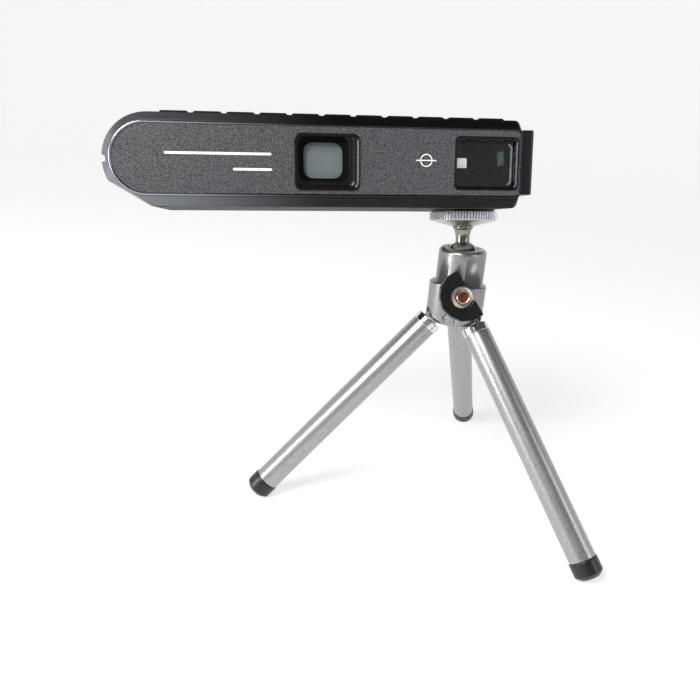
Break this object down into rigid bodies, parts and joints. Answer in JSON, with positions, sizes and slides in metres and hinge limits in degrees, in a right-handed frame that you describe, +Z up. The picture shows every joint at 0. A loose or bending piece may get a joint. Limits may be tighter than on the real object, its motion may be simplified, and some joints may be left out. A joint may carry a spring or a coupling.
{
  "type": "film camera on tripod",
  "caption": "Flat subminiature film camera with sliding film transport, screwed to a folding table tripod with a clamped ball head.",
  "frame": {"origin": "on the ground under the axis of the ball head, between the three feet", "axes": "+Z up; +Y from the lens side to the back; +X to the right seen from the lens side"},
  "size_m": [0.1771, 0.1296, 0.1456],
  "materials": {
    "head_silver": "satin silver spray over cast zinc",
    "leg_silver": "satin silver spray over thin tube",
    "chrome": "polished plating",
    "nickel": "nickel plating, slightly worn",
    "steel": "turned steel",
    "hub_steel": "bright turned steel",
    "disc_silver": "straight knurled, satin",
    "rubber": "moulded black rubber",
    "grip_black": "moulded black, half gloss",
    "copper_brass": "turned red brass",
    "nylon": "moulded natural nylon",
    "casing_black": "moulded black, half gloss",
    "frame_black": "satin black bevel",
    "panel_grain": "fine grained dark grey lacquer",
    "trim_bright": "bright plated bead",
    "bezel_black": "gloss black moulding",
    "glass": "coated optical glass",
    "inner_black": "matt black inside",
    "plate_metal": "pressed plate",
    "cover_grey": "satin grey lacquer",
    "pad_black": "matt black moulding",
    "button_red": "matt red moulding",
    "latch_grey": "matt grey moulding",
    "cartridge": "matt moulded cassette",
    "brass": "turned brass"
  },
  "bodies": {
    "head": {"head_housing": "head_silver", "leg_pins": "steel"},
    "clamp": {"clamp_screw": "copper_brass", "clamp_hub": "hub_steel", "clamp_grip": "grip_black"},
    "seat": {"ball_seat": "nylon"},
    "ball": {"ball_stud": "nickel"},
    "disc": {"lock_disc": "disc_silver", "disc_pad": "rubber"},
    "camera": {"bottom_casing": "casing_black", "top_casing": "casing_black", "front_frame": "frame_black", "front_panel": "panel_grain", "trim_frame": "trim_bright", "lens_bezel": "bezel_black", "viewfinder_frame": "bezel_black", "viewfinder_window": "glass", "viewfinder_tunnel": "inner_black", "eyepiece": "glass", "top_grip": "pad_black", "release_spring": "steel", "lens_barrel": "inner_black", "front_element": "glass", "rear_element": "glass", "shutter_plate": "plate_metal", "light_box": "inner_black", "film_cartridge": "cartridge", "gear_axle": "steel", "door_pin": "steel", "tripod_bush": "brass", "strap_pin": "steel", "casing_screws": "steel"},
    "button": {"release_button": "button_red"},
    "blade": {"shutter_blade": "inner_black"},
    "slide": {"transport_slide": "casing_black", "lens_cover": "cover_grey"},
    "gear": {"advance_gear": "nylon"},
    "door": {"back_door": "casing_black", "door_pads": "rubber"},
    "latch": {"door_latch": "latch_grey"},
    "left_leg": {"left_leg_lug": "steel", "left_leg_collar": "chrome", "left_leg_tube": "leg_silver", "left_foot": "rubber"},
    "right_leg": {"right_leg_lug": "steel", "right_leg_collar": "chrome", "right_leg_tube": "leg_silver", "right_foot": "rubber"},
    "rear_leg": {"rear_leg_lug": "steel", "rear_leg_collar": "chrome", "rear_leg_tube": "leg_silver", "rear_foot": "rubber"}
  },
  "joints": [
    {"name": "left_leg_fold", "type": "hinge", "parent": "head", "child": "left_leg", "pos_m": [-0.00635, -0.00138, 0.07665], "axis": [0.213, -0.977, 0], "range_deg": [0, 41.6]},
    {"name": "right_leg_fold", "type": "hinge", "parent": "head", "child": "right_leg", "pos_m": [0.00438, -0.00481, 0.07665], "axis": [0.7396, 0.673, 0], "range_deg": [0, 41.6]},
    {"name": "rear_leg_fold", "type": "hinge", "parent": "head", "child": "rear_leg", "pos_m": [0.00198, 0.00619, 0.07665], "axis": [-0.9527, 0.304, 0], "range_deg": [0, 41.6]},
    {"name": "ball_pan", "type": "hinge", "parent": "head", "child": "seat", "pos_m": [0, 0, 0.09645], "axis": [0, 0, 1], "continuous": true},
    {"name": "ball_tilt", "type": "hinge", "parent": "seat", "child": "ball", "pos_m": [0, 0, 0.09645], "axis": [0.9171, 0.3987, 0], "range_deg": [-19.4, 40.6]},
    {"name": "camera_turn", "type": "hinge", "parent": "ball", "child": "camera", "pos_m": [-0.00128, 0.00294, 0.1136], "axis": [-0.0734, 0.1687, 0.9829], "continuous": true},
    {"name": "disc_turn", "type": "hinge", "parent": "ball", "child": "disc", "pos_m": [-0.00113, 0.00261, 0.11164], "axis": [-0.0734, 0.1687, 0.9829], "continuous": true},
    {"name": "clamp_turn", "type": "hinge", "parent": "head", "child": "clamp", "pos_m": [-0.00046, -0.01331, 0.08538], "axis": [-0.0332, -0.9505, 0.309], "continuous": true},
    {"name": "transport_pull", "type": "slide", "parent": "camera", "child": "slide", "axis": [0.9855, 0.1637, 0.0454], "range_m": [0, 0.018]},
    {"name": "gear_turn", "type": "hinge", "parent": "camera", "child": "gear", "pos_m": [-0.01513, 0.01183, 0.11786], "axis": [-0.0734, 0.1687, 0.9829], "range_deg": [-250, 0]},
    {"name": "release_press", "type": "slide", "parent": "camera", "child": "button", "axis": [0.0734, -0.1687, -0.9829], "range_m": [0, 0.0012], "stiffness_N_per_m": 300, "springref_m": -0.002, "deforming": ["release_spring"]},
    {"name": "blade_swing", "type": "hinge", "parent": "camera", "child": "blade", "pos_m": [-0.0619, -0.01363, 0.12138], "axis": [0.1533, -0.972, 0.1783], "range_deg": [0, 41]},
    {"name": "door_open", "type": "hinge", "parent": "camera", "child": "door", "pos_m": [-0.10771, 0.01131, 0.11837], "axis": [-0.0734, 0.1687, 0.9829], "range_deg": [0, 95]},
    {"name": "latch_slide", "type": "slide", "parent": "camera", "child": "latch", "axis": [-0.9855, -0.1637, -0.0454], "range_m": [0, 0.003]}
  ],
  "couplings": [
    {"joint": "gear_turn", "follows": "transport_pull", "rad_per_m": -238.1},
    {"joint": "blade_swing", "follows": "release_press", "rad_per_m": 580}
  ]
}
